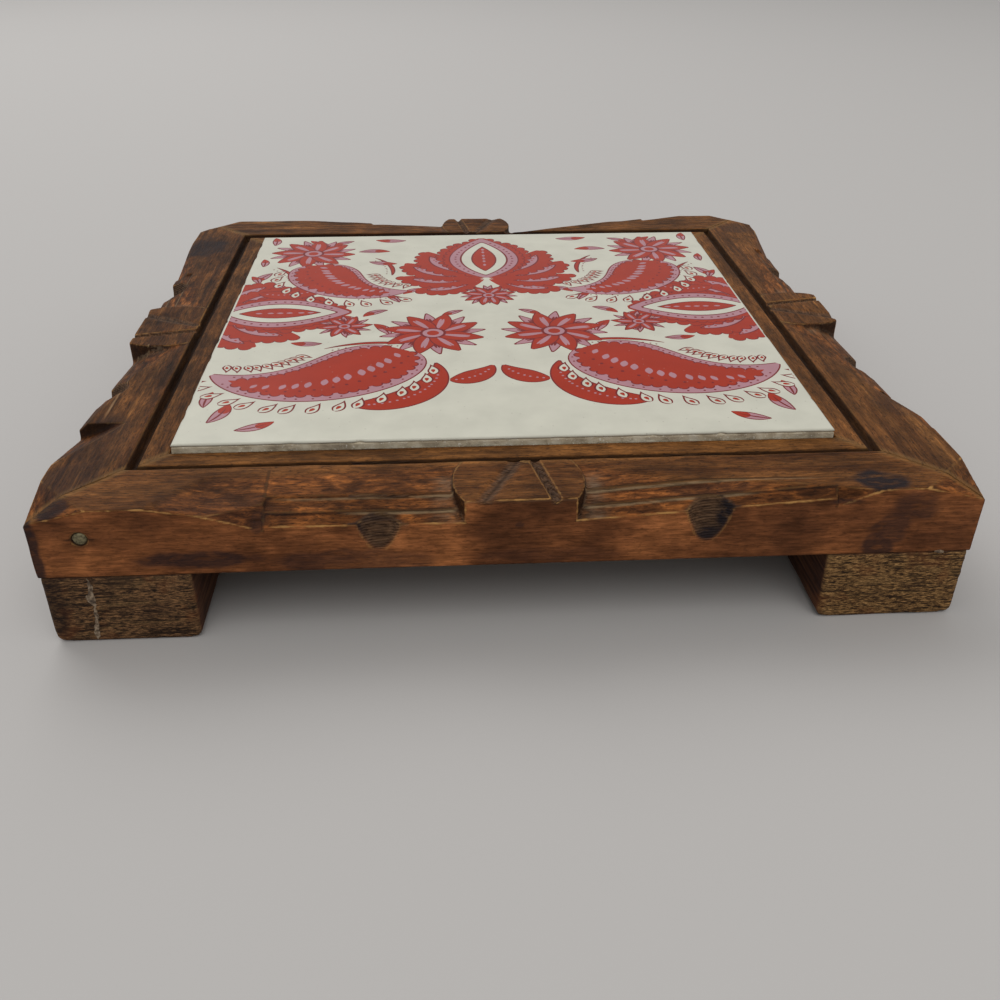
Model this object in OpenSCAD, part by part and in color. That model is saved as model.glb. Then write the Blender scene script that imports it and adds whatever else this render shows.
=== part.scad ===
// Square table trivet: a glazed tile let into a carved, mitred wooden frame that stands on two runners.
// The origin is the middle of the footprint, on the table. X runs to the right, Y to the back, Z up.
// Each rail is drawn as the front one, outer face towards -Y, and then turned to its own side.

/* [Tile] */
// Side of the square tile
tile_side = 152; // [100:1:200]
// Thickness of the tile
tile_t = 6; // [5:0.25:8]
// Height of the tile's face above the wood beside it
tile_proud = 2; // [0.5:0.1:3]
// Gap between the tile's edge and the wood
tile_gap = 0.4; // [0.2:0.1:1]
// Rounding of the glazed arris round the tile's face
tile_arris = 0.6; // [0.3:0.1:1]

/* [Rails] */
// Width of a rail seen from above
rail_w = 24.6; // [23:0.1:34]
// Height of a rail from its underside to its uncarved top
rail_h = 16.5; // [16:0.5:24]
// Width of the plain strip beside the tile
strip_w = 5.6; // [4.5:0.1:8]
// Drop of that strip below the rail's uncarved top
strip_drop = 0.5; // [0.1:0.1:1]
// Width of the groove between the strip and the carving
groove_w = 2.3; // [1.5:0.1:3]
// Width of the groove's flat floor
groove_floor_w = 0.8; // [0.4:0.1:1.2]
// Depth of the groove
groove_depth = 2.6; // [1.5:0.1:3.2]
// Width of the rabbet under the strip
rabbet_w = 5.6; // [4:0.1:7]

/* [Carving] */
// Length of the block left standing in the middle of each rail
block_l = 28.5; // [20:0.5:36]
// Radius of the block's bowed ends
block_end_r = 15.6; // [14.5:0.1:20]
// Fall of the terraced bevel at the rail's outer face, beside the block
bevel_drop = 5.4; // [3.5:0.1:6.5]
// Tilt of the bevel, in degrees, which makes it shallower towards the corners
bevel_tilt = 2.4; // [0:0.2:3]
// Height of the small riser between two terraces
riser_h = 0.7; // [0.3:0.1:1]
// Slant of the leaf-shaped facet's end across the rail, in degrees
leaf_slant = 50; // [35:1:60]
// Dip of the leaf-shaped facet's end, in degrees
leaf_dip = 12; // [9:1:24]
// Length of the chip cut beyond the bevel's end
chip_l = 19; // [12:1:22]
// Fall of the chip at its deep end
chip_drop = 5.7; // [4:0.1:7]
// Distance that the chip reaches in from the outer face
chip_in = 5.3; // [3:0.1:6.5]
// Radius of the gouge that made the scoops
scoop_r = 7.6; // [6:0.1:10]
// Height of a scoop's lower tip above the rail's underside
scoop_base = 4.6; // [3:0.1:7]
// Lean of the gouge, in degrees
scoop_lean = 14; // [10:1:18]
// Width of the narrow cut across the block
narrow_cut_w = 2.4; // [1:0.1:3.5]
// Depth of the narrow cut
narrow_cut_depth = 1.3; // [0.5:0.1:2]
// Width of the broad cut across the block
broad_cut_w = 4.6; // [3:0.1:6]
// Depth of the broad cut
broad_cut_depth = 0.6; // [0.3:0.1:2]
// Distance from each corner at which the top starts to fall away
corner_run = 13; // [8:0.5:18]
// Fall of the top at the very corner
corner_dip = 3; // [1:0.1:5]

/* [Backing] */
// Thickness of the panel that carries the tile
panel_t = 5; // [3:0.25:5.5]
// Gap between the panel's edge and the rabbet
panel_gap = 0.5; // [0.2:0.1:1]
// Thickness of the adhesive between the tile and the panel
adhesive_t = 1; // [0.5:0.1:2]
// Distance that the adhesive stops short of the tile's edge
adhesive_inset = 4; // [2:0.5:12]

/* [Runners] */
// Width of a runner
foot_w = 32; // [24:0.5:44]
// Height of a runner
foot_h = 17.5; // [10:0.5:25]
// Rounding of a runner's two lower edges
foot_edge_r = 2.5; // [1:0.25:4]

/* [Nails] */
// Shank diameter of the corner and runner nails
nail_d = 1.8; // [1.4:0.1:2.2]
// Head diameter of a corner nail
corner_head_d = 3.2; // [2.6:0.1:4]
// Head diameter of a runner nail
foot_head_d = 4.2; // [3.4:0.1:5]
// Head thickness of the corner and runner nails
nail_head_t = 0.9; // [0.6:0.1:1.4]
// Length of a corner nail
corner_nail_l = 28; // [24:1:36]
// Length of a runner nail
foot_nail_l = 24; // [22:1:26]
// Depth to which a runner nail's head is set in
foot_nail_set = 1; // [0.2:0.1:1.5]
// Distance of a corner nail from the end of its rail
corner_nail_in = 10.5; // [8:0.5:14]
// Height of a corner nail above the rail's underside
corner_nail_up = 9.6; // [8.5:0.1:10.5]
// Shank diameter of a panel brad
brad_d = 1.2; // [0.9:0.1:1.5]
// Head diameter of a panel brad
brad_head_d = 2; // [1.6:0.1:2.6]
// Head thickness of a panel brad
brad_head_t = 0.5; // [0.3:0.1:0.8]
// Length of a panel brad
brad_l = 8.5; // [7.5:0.1:9]
// Gap between a nail and the hole that it made
nail_fit = 0.05; // [0.02:0.01:0.1]

/* [Hidden] */
$fn = 48;

// Distances from the middle of the trivet outwards
tile_half = tile_side / 2;
open_half = tile_half + tile_gap;
groove_in = open_half + strip_w;
groove_out = groove_in + groove_w;
outer_half = open_half + rail_w;
rabbet_half = open_half + rabbet_w;
carve_w = outer_half - groove_out;

// Heights above the table
rail_top = foot_h + rail_h;
strip_top = rail_top - strip_drop;
tile_top = strip_top + tile_proud;
tile_bottom = tile_top - tile_t;
panel_top = tile_bottom - adhesive_t;
panel_bottom = panel_top - panel_t;

// How far a cut runs past the wood
cut_over = rail_h / 8;

// Places along each rail, as shares of half the frame's side, in the order front, right, back, left.
// Where a pair is given, the first is the half on the left hand of someone facing that rail.
block_shares = [0.012, 0.043, 0.011, 0.007];
scoop_shares = [[0.285, 0.41], [0.31, 0.42], [0.27, 0.29], [0.33, 0.41]];
step_shares = [[0.522, 0.68], [0.495, 0.6], [0.61, 0.39], [0.44, 0.61]];

// How each rail's hand carving differs from the sizes above, as shares of them, in the same order
block_l_shares = [1, 0.92, 0.86, 1.06];
tilt_shares = [[0.2, 1.6], [0.8, 0.9], [2.5, 1.2], [0.7, 2.2]];
fall_shares = [[1, 1], [1, 1.1], [1.3, 0.7], [0.7, 1.15]];
chip_l_shares = [[1, 0.53], [1, 1.26], [0.82, 1.34], [1.42, 1.05]];
chip_drop_shares = [[1.07, 0.7], [1.25, 0.95], [0.96, 0.84], [0.75, 0.77]];
chip_in_shares = [[1, 0.4], [1.25, 0.9], [1, 0.9], [0.9, 2.2]];
hollow_shares = [[0, 0], [0, 0], [0.4, 0], [0, 0]];
scoop_lean_shares = [1, 2.2, 1.2, 2.2];

// The terraces, as shares of the carving's width and of the bevel's fall at the outer face
terrace_in_shares = [0.63, 0.84];
terrace_fall_shares = [0.3, 0.64];

// The two cuts across a block: ends as shares of half the block's length
broad_cut_shares = [0.02, -0.55];
narrow_cut_shares = [0.28, 0.52];

// Runner nails along a runner and brads along a side of the panel
foot_nail_shares = [-0.62, 0, 0.62];
brad_shares = [-0.56, 0.56];

module rail_section() {
    groove_slope = (groove_w - groove_floor_w) / 2;
    polygon([
        [-outer_half, foot_h],
        [-rabbet_half, foot_h],
        [-rabbet_half, panel_top],
        [-open_half, panel_top],
        [-open_half, strip_top],
        [-groove_in, strip_top],
        [-groove_in - groove_slope, rail_top - groove_depth],
        [-groove_out + groove_slope, rail_top - groove_depth],
        [-groove_out, rail_top],
        [-outer_half, rail_top]]);
}

// Sweeps a section along the rail, from one place to another
module along_rail(from, to) {
    translate([from, 0, 0]) rotate([90, 0, 90]) linear_extrude(height = to - from) children();
}

// Fall of a bevel at one of its terraces. A hollow bevel has fallen further by then
function terrace_fall(k, fall, hollow) =
    fall * (terrace_fall_shares[k] + hollow * (1 - terrace_fall_shares[k]));

// The section of wood that a terraced bevel takes away
module bevel_section(fall, hollow) {
    first_in = carve_w * terrace_in_shares[0];
    second_in = carve_w * terrace_in_shares[1];
    start_fall = fall * hollow * terrace_fall_shares[0];
    first_fall = terrace_fall(0, fall, hollow);
    second_fall = terrace_fall(1, fall, hollow);
    riser_lean = riser_h / 3;
    polygon([
        [-groove_out, rail_top - start_fall],
        [-groove_out, rail_top + rail_h],
        [-outer_half - cut_over, rail_top + rail_h],
        [-outer_half - cut_over, rail_top - fall],
        [-outer_half, rail_top - fall],
        [-groove_out - second_in - riser_lean, rail_top - second_fall - riser_h / 2],
        [-groove_out - second_in, rail_top - second_fall],
        [-groove_out - first_in - riser_lean, rail_top - first_fall - riser_h],
        [-groove_out - first_in, rail_top - first_fall]]);
}

// The section of the facet that carries the bevel's inner slope on towards the corner
module leaf_section(fall, hollow) {
    start_fall = fall * hollow * terrace_fall_shares[0];
    end_fall = start_fall + (terrace_fall(0, fall, hollow) - start_fall) / terrace_in_shares[0];
    polygon([
        [-groove_out, rail_top - start_fall],
        [-groove_out, rail_top + rail_h],
        [-outer_half - cut_over, rail_top + rail_h],
        [-outer_half - cut_over, rail_top - end_fall],
        [-outer_half, rail_top - end_fall]]);
}

// A bevel has its full fall beside the block and tilts up from there
module bevel_run(turn_at, end_at, tilt) {
    translate([turn_at, 0, rail_top]) rotate([0, -tilt, 0]) translate([0, 0, -rail_top])
        along_rail(-turn_at, end_at - turn_at) children();
}

// All that lies above a plane, which meets the rail's top along a slanted line that reaches the face at end_at
module above_facet(end_at, slant, dip) {
    reach = end_at + cut_over;
    translate([end_at, -outer_half, rail_top]) rotate([0, 0, 180 - slant]) rotate([-dip, 0, 0])
        translate([-reach / 4, 0, 0]) cube([reach * 5 / 4, reach, rail_h * 4]);
}

// A three-cornered chip in the outer face, with an upright wall at its deep end
module chip_notch(step_at, length, drop, in_run) {
    slant = atan(in_run / length);
    intersection() {
        above_facet(step_at + length, slant, atan(drop / (in_run * cos(slant))));
        translate([step_at, -outer_half - cut_over, foot_h]) cube([length, in_run + cut_over, rail_h * 2]);
    }
}

// A scoop from one push of a gouge, up and into the outer face
module scoop(scoop_at, lean) {
    translate([scoop_at, -outer_half, foot_h + scoop_base]) rotate([-lean, 0, 0])
        translate([0, -scoop_r, -cut_over]) cylinder(r = scoop_r, h = rail_h * 2);
}

module block_keep(block_at, half_block) {
    bow_r = max(block_end_r, half_block);
    translate([block_at, -outer_half + carve_w / 2, foot_h]) intersection() {
        translate([bow_r - half_block, 0, 0]) cylinder(r = bow_r, h = rail_h * 2, $fn = 96);
        translate([half_block - bow_r, 0, 0]) cylinder(r = bow_r, h = rail_h * 2, $fn = 96);
    }
}

// The carving of one half of a rail, drawn on the right-hand side: k is 0 for the left half and 1 for the right
module half_carving(i, k) {
    block_at = (k * 2 - 1) * outer_half * block_shares[i];
    half_block = block_l / 2 * block_l_shares[i];
    turn_at = block_at + half_block;
    step_at = outer_half * step_shares[i][k];
    length = chip_l * chip_l_shares[i][k];
    leaf_end = step_at + length + riser_h * 8;
    tilt = bevel_tilt * tilt_shares[i][k];
    fall = bevel_drop * fall_shares[i][k];
    difference() {
        union() {
            bevel_run(turn_at, step_at, tilt) bevel_section(fall, hollow_shares[i][k]);
            intersection() {
                bevel_run(turn_at, leaf_end, tilt) leaf_section(fall, hollow_shares[i][k]);
                above_facet(leaf_end, leaf_slant, leaf_dip);
            }
        }
        block_keep(block_at, half_block);
        translate([-outer_half * 2 + block_at, -outer_half * 2, 0])
            cube([outer_half * 2, outer_half * 2, rail_top * 3]);
        translate([-outer_half, -groove_out, 0]) cube([outer_half * 3, outer_half, rail_top * 3]);
    }
    chip_notch(step_at, length, chip_drop * chip_drop_shares[i][k], chip_in * chip_in_shares[i][k]);
    scoop(outer_half * scoop_shares[i][k], scoop_lean * scoop_lean_shares[i]);
}

// A V-shaped cut across the block, from the groove out through the face
module cross_cut(inner_at, outer_at, cut_w, cut_depth) {
    run = [outer_at - inner_at, -carve_w];
    reach = norm(run);
    translate([inner_at, -groove_out, rail_top]) rotate([0, 0, atan2(run[1], run[0])])
        rotate([90, 0, 90]) linear_extrude(height = reach + cut_over)
            polygon([[-cut_w / 2, 0], [-cut_w / 2, cut_over], [cut_w / 2, cut_over],
                [cut_w / 2, 0], [0, -cut_depth]]);
}

module corner_fall() {
    fall_angle = atan(corner_dip / (corner_run * sin(45)));
    translate([outer_half, -outer_half + corner_run, rail_top]) rotate([0, 0, 180 + 45])
        rotate([-fall_angle, 0, 0]) translate([-corner_run, 0, 0])
            cube([corner_run * 4, corner_run * 2, rail_h]);
}

// The whole carving of one rail, given its number in the tables
module rail_carving(i) {
    block_at = outer_half * block_shares[i];
    half_block = block_l / 2 * block_l_shares[i];
    half_carving(i, 1);
    mirror([1, 0, 0]) half_carving(i, 0);
    cross_cut(block_at + broad_cut_shares[0] * half_block, block_at + broad_cut_shares[1] * half_block,
        broad_cut_w, broad_cut_depth);
    cross_cut(block_at + narrow_cut_shares[0] * half_block, block_at + narrow_cut_shares[1] * half_block,
        narrow_cut_w, narrow_cut_depth);
    corner_fall();
    mirror([1, 0, 0]) corner_fall();
}

// A nail pointing up, the top of its head at zero
module nail_shape(shank_d, head_d, head_t, length) {
    tip_l = shank_d * 1.5;
    cylinder(d = head_d, h = head_t);
    cylinder(d = shank_d, h = length - tip_l);
    translate([0, 0, length - tip_l]) cylinder(d1 = shank_d, d2 = shank_d / 4, h = tip_l);
}

module nail_hole(shank_d, head_d, head_t, length) {
    translate([0, 0, -nail_fit]) cylinder(d = head_d + nail_fit * 2, h = head_t + nail_fit);
    cylinder(d = shank_d + nail_fit * 2, h = length + nail_fit);
}

// A corner nail goes in near the left end of each rail's outer face and on into the next rail
module at_corner_nail() {
    translate([-outer_half + corner_nail_in, -outer_half, foot_h + corner_nail_up])
        rotate([-90, 0, 0]) children();
}

module at_foot_nail(side, k) {
    translate([side * (outer_half - foot_w / 3), foot_nail_shares[k] * outer_half, foot_nail_set]) children();
}

module at_brad(k) {
    translate([brad_shares[k] * tile_half, -(open_half + groove_in) / 2, panel_bottom]) children();
}

module corner_nail_hole() {
    at_corner_nail() translate([0, 0, -cut_over]) cylinder(d = corner_head_d + nail_fit * 2,
        h = nail_head_t + nail_fit + cut_over);
    at_corner_nail() cylinder(d = nail_d + nail_fit * 2, h = corner_nail_l + nail_fit);
}

module mitred_ends() {
    linear_extrude(height = rail_top * 2)
        polygon([[0, 0], [-outer_half * 2, -outer_half * 2], [outer_half * 2, -outer_half * 2]]);
}

module rail(i) {
    rotate([0, 0, 90 * i]) difference() {
        intersection() {
            along_rail(-outer_half, outer_half) rail_section();
            mitred_ends();
        }
        rail_carving(i);
        corner_nail_hole();
        rotate([0, 0, 90]) corner_nail_hole();
        for (k = [0 : len(brad_shares) - 1])
            at_brad(k) nail_hole(brad_d, brad_head_d, brad_head_t, brad_l);
        if (i == 1 || i == 3)
            for (k = [0 : len(foot_nail_shares) - 1])
                rotate([0, 0, -90 * i]) at_foot_nail(2 - i, k)
                    cylinder(d = nail_d + nail_fit * 2, h = foot_nail_l + nail_fit);
    }
}

module rail_front() { color("#6b4128") rail(0); }
module rail_right() { color("#5f3a25") rail(1); }
module rail_back() { color("#65402a") rail(2); }
module rail_left() { color("#5a3a28") rail(3); }

module tile() {
    color("#e4e3da") translate([0, 0, tile_bottom]) union() {
        translate([-tile_half, -tile_half, 0]) cube([tile_side, tile_side, tile_t - tile_arris]);
        translate([0, 0, tile_t - tile_arris]) rotate([0, 0, 45])
            cylinder(r1 = tile_half * sqrt(2), r2 = (tile_half - tile_arris) * sqrt(2), h = tile_arris, $fn = 4);
    }
}

module tile_adhesive() {
    bed = tile_side - adhesive_inset * 2;
    color("#9c968a") translate([-bed / 2, -bed / 2, panel_top]) cube([bed, bed, adhesive_t]);
}

module backing_panel() {
    panel_half = rabbet_half - panel_gap;
    color("#b08a5c") difference() {
        translate([-panel_half, -panel_half, panel_bottom]) cube([panel_half * 2, panel_half * 2, panel_t]);
        for (i = [0 : 3])
            for (k = [0 : len(brad_shares) - 1])
                rotate([0, 0, 90 * i]) at_brad(k) nail_hole(brad_d, brad_head_d, brad_head_t, brad_l);
    }
}

module foot_section() {
    translate([-foot_w / 2, foot_edge_r]) square([foot_w, foot_h - foot_edge_r]);
    translate([-foot_w / 2 + foot_edge_r, 0]) square([foot_w - foot_edge_r * 2, foot_edge_r * 2]);
    for (side = [-1, 1])
        translate([side * (foot_w / 2 - foot_edge_r), foot_edge_r]) circle(r = foot_edge_r);
}

module foot(side) {
    color("#5b4430") difference() {
        translate([side * (outer_half - foot_w / 2), outer_half, 0]) rotate([90, 0, 0])
            linear_extrude(height = outer_half * 2) foot_section();
        for (k = [0 : len(foot_nail_shares) - 1]) at_foot_nail(side, k) {
            translate([0, 0, -foot_nail_set * 2])
                cylinder(d = foot_head_d + nail_fit * 2, h = nail_head_t + nail_fit + foot_nail_set * 2);
            cylinder(d = nail_d + nail_fit * 2, h = foot_nail_l);
        }
    }
}

module foot_left() { foot(-1); }
module foot_right() { foot(1); }

module corner_nail(i) {
    color("#8d8470") rotate([0, 0, 90 * i]) at_corner_nail()
        nail_shape(nail_d, corner_head_d, nail_head_t, corner_nail_l);
}

module foot_nail(side, k) {
    color("#77736b") at_foot_nail(side, k) nail_shape(nail_d, foot_head_d, nail_head_t, foot_nail_l);
}

module panel_brad(i, k) {
    color("#85807a") rotate([0, 0, 90 * i]) at_brad(k) nail_shape(brad_d, brad_head_d, brad_head_t, brad_l);
}

rail_front();
rail_right();
rail_back();
rail_left();
tile();
tile_adhesive();
backing_panel();
foot_left();
foot_right();
corner_nail(0);  // corner_nail_front_left
corner_nail(1);  // corner_nail_front_right
corner_nail(2);  // corner_nail_back_right
corner_nail(3);  // corner_nail_back_left
foot_nail(-1, 0);  // foot_nail_left_front
foot_nail(-1, 1);  // foot_nail_left_middle
foot_nail(-1, 2);  // foot_nail_left_back
foot_nail(1, 0);  // foot_nail_right_front
foot_nail(1, 1);  // foot_nail_right_middle
foot_nail(1, 2);  // foot_nail_right_back
panel_brad(0, 0);  // panel_brad_front_left
panel_brad(0, 1);  // panel_brad_front_right
panel_brad(1, 0);  // panel_brad_right_front
panel_brad(1, 1);  // panel_brad_right_back
panel_brad(2, 0);  // panel_brad_back_right
panel_brad(2, 1);  // panel_brad_back_left
panel_brad(3, 0);  // panel_brad_left_back
panel_brad(3, 1);  // panel_brad_left_front
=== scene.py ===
import itertools
import math

import bmesh
import bpy
import numpy as np
from bmesh.types import BMEdge, BMFace, BMVert
from mathutils import Euler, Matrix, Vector
from mathutils.geometry import delaunay_2d_cdt
from mathutils.kdtree import KDTree


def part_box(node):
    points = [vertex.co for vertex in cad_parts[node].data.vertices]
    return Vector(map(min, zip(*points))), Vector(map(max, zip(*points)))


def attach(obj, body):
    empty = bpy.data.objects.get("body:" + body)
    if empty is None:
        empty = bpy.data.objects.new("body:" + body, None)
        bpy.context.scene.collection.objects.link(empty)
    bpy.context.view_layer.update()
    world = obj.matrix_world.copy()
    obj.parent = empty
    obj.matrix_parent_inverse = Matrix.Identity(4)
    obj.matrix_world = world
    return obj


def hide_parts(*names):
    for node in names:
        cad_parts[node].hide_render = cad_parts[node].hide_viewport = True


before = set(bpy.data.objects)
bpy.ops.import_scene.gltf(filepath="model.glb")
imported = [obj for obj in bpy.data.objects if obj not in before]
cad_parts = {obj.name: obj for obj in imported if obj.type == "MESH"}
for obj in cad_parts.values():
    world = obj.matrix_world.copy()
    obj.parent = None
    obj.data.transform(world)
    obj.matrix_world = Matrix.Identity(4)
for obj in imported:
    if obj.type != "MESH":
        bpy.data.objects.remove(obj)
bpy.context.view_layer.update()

# Lengths here are in millimetres, and MM turns them into scene units
MM = 0.001

# Sizes that the frame gives
RAIL_LOW, RAIL_HIGH = (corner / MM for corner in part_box("rail_front"))
TILE_LOW, TILE_HIGH = (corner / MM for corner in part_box("tile"))
FOOT_LOW, FOOT_HIGH = (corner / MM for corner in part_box("foot_left"))
NAIL_LOW, NAIL_HIGH = (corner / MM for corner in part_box("corner_nail_front_left"))
NAIL_ALONG = (NAIL_LOW.x + NAIL_HIGH.x) / 2
NAIL_UP = (NAIL_LOW.z + NAIL_HIGH.z) / 2
OUTER_HALF = RAIL_HIGH.x
OPEN_HALF = -RAIL_HIGH.y
RAIL_TOP = RAIL_HIGH.z
RAIL_FOOT = RAIL_LOW.z
TILE_HALF = TILE_HIGH.x
TILE_TOP = TILE_HIGH.z

# Widths across a rail, from the tile outwards, and the terraces of its bevel
STRIP_W = 5.6
GROOVE_W = 2.3
GROOVE_IN = OPEN_HALF + STRIP_W
GROOVE_OUT = GROOVE_IN + GROOVE_W
CARVE_W = OUTER_HALF - GROOVE_OUT
TERRACE_SHARES = (0.63, 0.84)
BLOCK_L = 28.5
SCOOP_HALF = 6.5

# Places along each rail, as shares of half its length: the block, the scoops and the ends of the terraces.
# The rails come in the order front, right, back, left, and each pair is its left and right half from outside.
RAILS = ("rail_front", "rail_right", "rail_back", "rail_left")
BLOCK_SHARES = (0.012, 0.043, 0.011, 0.007)
SCOOP_SHARES = ((-0.285, 0.41), (-0.31, 0.42), (-0.27, 0.29), (-0.33, 0.41))
STEP_SHARES = ((-0.522, 0.68), (-0.495, 0.6), (-0.61, 0.39), (-0.44, 0.61))

# The camera stands where the photograph was taken from
CAMERA_AT = (-14.12, -278.85, 144.53)
CAMERA_TURN = (58.2, -0.24, -3.33)
SENSOR_W = 36.0
LENS_L = 36.36
CLIP_NEAR, CLIP_FAR = 0.01, 50.0


def linear(hex_colour):
    """The linear colour of an sRGB hex value"""
    parts = [int(hex_colour[k:k + 2], 16) / 255 for k in (1, 3, 5)]
    return [p / 12.92 if p <= 0.04045 else ((p + 0.055) / 1.055) ** 2.4 for p in parts] + [1.0]


def add_node(tree, kind, inputs=None, stops=(), **settings):
    """Adds a shader node, with its settings, its colour stops, and its inputs as values or links"""
    node = tree.nodes.new("ShaderNode" + kind)
    for key, value in settings.items():
        setattr(node, key, value)
    if stops:
        elements = node.color_ramp.elements
        while len(elements) < len(stops):
            elements.new(1.0)
        for element, (place, hex_colour) in zip(elements, stops):
            element.position = place
            element.color = linear(hex_colour)
    for key, value in (inputs or {}).items():
        if isinstance(value, bpy.types.NodeSocket):
            tree.links.new(value, node.inputs[key])
        else:
            node.inputs[key].default_value = value
    return node


class Paint:
    """A new material, and the ways in which its nodes are put together"""

    def __init__(self, name, rough=0.5, specular=0.5, metallic=0.0):
        self.material = bpy.data.materials.new(name)
        self.material.use_nodes = True
        self.tree = self.material.node_tree
        self.sockets = self.tree.nodes["Principled BSDF"].inputs
        for key, value in (("Roughness", rough), ("Specular IOR Level", specular), ("Metallic", metallic)):
            self.sockets[key].default_value = value
        self.place = self.add("TexCoord", out="Object")

    def add(self, kind, inputs=None, stops=(), out=0, **settings):
        """Adds a node and gives one of its outputs"""
        return add_node(self.tree, kind, inputs, stops, **settings).outputs[out]

    def fields(self, *names):
        """The numbers that were kept for the vertices under these names"""
        return {name: self.add("Attribute", out="Fac", attribute_name=name) for name in names}

    def moved(self, vector, **inputs):
        return self.add("Mapping", {"Vector": vector, **inputs})

    def noise(self, vector, size, **inputs):
        """Noise with spots about this wide in millimetres"""
        return self.add("TexNoise", {"Vector": vector, "Scale": 1 / (size * MM), **inputs})

    def ramp(self, value, *stops):
        return self.add("ValToRGB", {0: value}, stops)

    def between(self, value, low, high):
        """A value stretched so that low becomes 0 and high becomes 1"""
        return self.add("MapRange", {"Value": value, "From Min": low, "From Max": high})

    def math(self, operation, first, second, use_clamp=True):
        return self.add("Math", {0: first, 1: second}, operation=operation, use_clamp=use_clamp)

    def times(self, first, *others):
        for other in others:
            first = self.math("MULTIPLY", first, other)
        return first

    def blended(self, share, first, second, way="MIX"):
        """The first colour turned into the second by a share"""
        return self.add("Mix", {0: share, 6: first, 7: second}, out=2, data_type="RGBA", blend_type=way)

    def covered(self, colour, *layers):
        """A colour under layers, each a colour and the shares whose product says how far it covers"""
        for layer, *shares in layers:
            layer = linear(layer) if isinstance(layer, str) else layer
            colour = self.blended(self.times(*shares), colour, layer)
        return colour

    def finished(self, colour, height, strength, depth):
        """The material, with its colour and with a relief this deep in millimetres"""
        bump = self.add("Bump", {"Height": height, "Strength": strength, "Distance": depth * MM})
        self.tree.links.new(colour, self.sockets["Base Color"])
        self.tree.links.new(bump, self.sockets["Normal"])
        return self.material


# Mesh helpers


def deselect():
    for other in bpy.context.selected_objects:
        other.select_set(False)


def only_select(piece):
    deselect()
    piece.select_set(True)
    bpy.context.view_layer.objects.active = piece


def edit_all(piece, operator, **settings):
    """Runs a mesh operator on the whole of a piece"""
    only_select(piece)
    bpy.ops.object.mode_set(mode="EDIT")
    bpy.ops.mesh.select_all(action="SELECT")
    operator(**settings)
    bpy.ops.object.mode_set(mode="OBJECT")


def apply_modifier(piece, kind, **settings):
    modifier = piece.modifiers.new(kind.title(), kind)
    for key, value in settings.items():
        setattr(modifier, key, value)
    only_select(piece)
    bpy.ops.object.modifier_apply(modifier=modifier.name)


def new_object(name, data):
    piece = bpy.data.objects.new(name, data)
    bpy.context.scene.collection.objects.link(piece)
    return piece


def solid_copy(node, name):
    """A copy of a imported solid, its loose triangles joined"""
    piece = new_object(name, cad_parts[node].data.copy())
    edit_all(piece, bpy.ops.mesh.remove_doubles, threshold=0.01 * MM)
    return piece


def mesh_piece(name, points, faces):
    """A new piece from points in millimetres and faces"""
    mesh = bpy.data.meshes.new(name)
    mesh.from_pydata([tuple(c * MM for c in p) for p in points], [], faces)
    return new_object(name, mesh)


def circle(count):
    """Cosines and sines all the way round"""
    angle = np.arange(count) * 2 * np.pi / count
    return np.stack((np.cos(angle), np.sin(angle)), 1)


def tube_faces(rows, count):
    """Faces that join rows of so many points into a closed tube"""
    faces = []
    for r in range(rows - 1):
        for k in range(count):
            corners = (r, k), (r, k + 1), (r + 1, k + 1), (r + 1, k)
            faces.append(tuple(row * count + place % count for row, place in corners))
    return faces + [tuple(range(count))[::-1], tuple((rows - 1) * count + k for k in range(count))]


def coat(piece, material):
    """Gives a piece this material and no other"""
    piece.data.materials.clear()
    piece.data.materials.append(material)


def read_rows(items, key, width, kind=np.float32):
    """What a mesh keeps under a key, as rows this wide"""
    values = np.empty(len(items) * width, kind)
    items.foreach_get(key, values)
    return values.reshape(-1, width)


def read_points(piece):
    return read_rows(piece.data.vertices, "co", 3).astype(float) / MM


def write_points(piece, points):
    piece.data.vertices.foreach_set("co", (points * MM).astype(np.float32).ravel())
    piece.data.update()


def read_normals(piece):
    return read_rows(piece.data.vertex_normals, "vector", 3).astype(float)


def read_edges(piece):
    return read_rows(piece.data.edges, "vertices", 2, np.int32)


def keep_field(piece, name, values):
    """Keeps one number for each vertex, for the material to read"""
    layer = piece.data.attributes.new(name, "FLOAT", "POINT")
    layer.data.foreach_set("value", np.clip(values, 0, 1).astype(np.float32))


def evened(values, edges, rounds):
    """Values averaged with those of their neighbours, round after round"""
    links = np.concatenate((edges, edges[:, ::-1]))
    count = len(values)
    near = np.maximum(np.bincount(links[:, 0], minlength=count), 1)
    columns = values.reshape(count, -1)
    for _ in range(rounds):
        sums = [np.bincount(links[:, 0], column[links[:, 1]], count) / near for column in columns.T]
        columns = (columns + np.stack(sums, 1)) / 2
    return columns.reshape(values.shape)


# Cells along each side of a random field, which repeats beyond them
NOISE_CELLS = 32


def noise_field(points, size, seed):
    """A smooth random field from -1 to 1, with bumps about as wide as size, or one size for each axis"""
    table = np.random.default_rng(seed).uniform(-1, 1, (NOISE_CELLS,) * 3)
    cells = points / size
    base = np.floor(cells).astype(int)
    part = cells - base
    part = part * part * (3 - 2 * part)
    total = np.zeros(len(points))
    for corner in itertools.product((0, 1), repeat=3):
        weight = np.prod(np.where(corner, part, 1 - part), axis=1)
        place = (base + corner) % NOISE_CELLS
        total += weight * table[place[:, 0], place[:, 1], place[:, 2]]
    return total


def rise(values, low, high):
    """0 below low, 1 above high, with a smooth rise between"""
    share = np.clip((values - low) / (high - low), 0, 1)
    return share * share * (3 - 2 * share)


def standing_out(points, normals, edges, rounds):
    """How far each point stands out from the mean of those round it"""
    return ((points - evened(points, edges, rounds)) * normals).sum(1)


# The carved rails

# Distance over which a terrace's place across the rail is kept for the material, and how far short of the
# steps the lines along each terrace stop: a painted shade line, and a light line, partly dust, partly painted
# highlight
TERRACE_SPAN = 8.0
LINE_STOPS = (0, 14)
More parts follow.
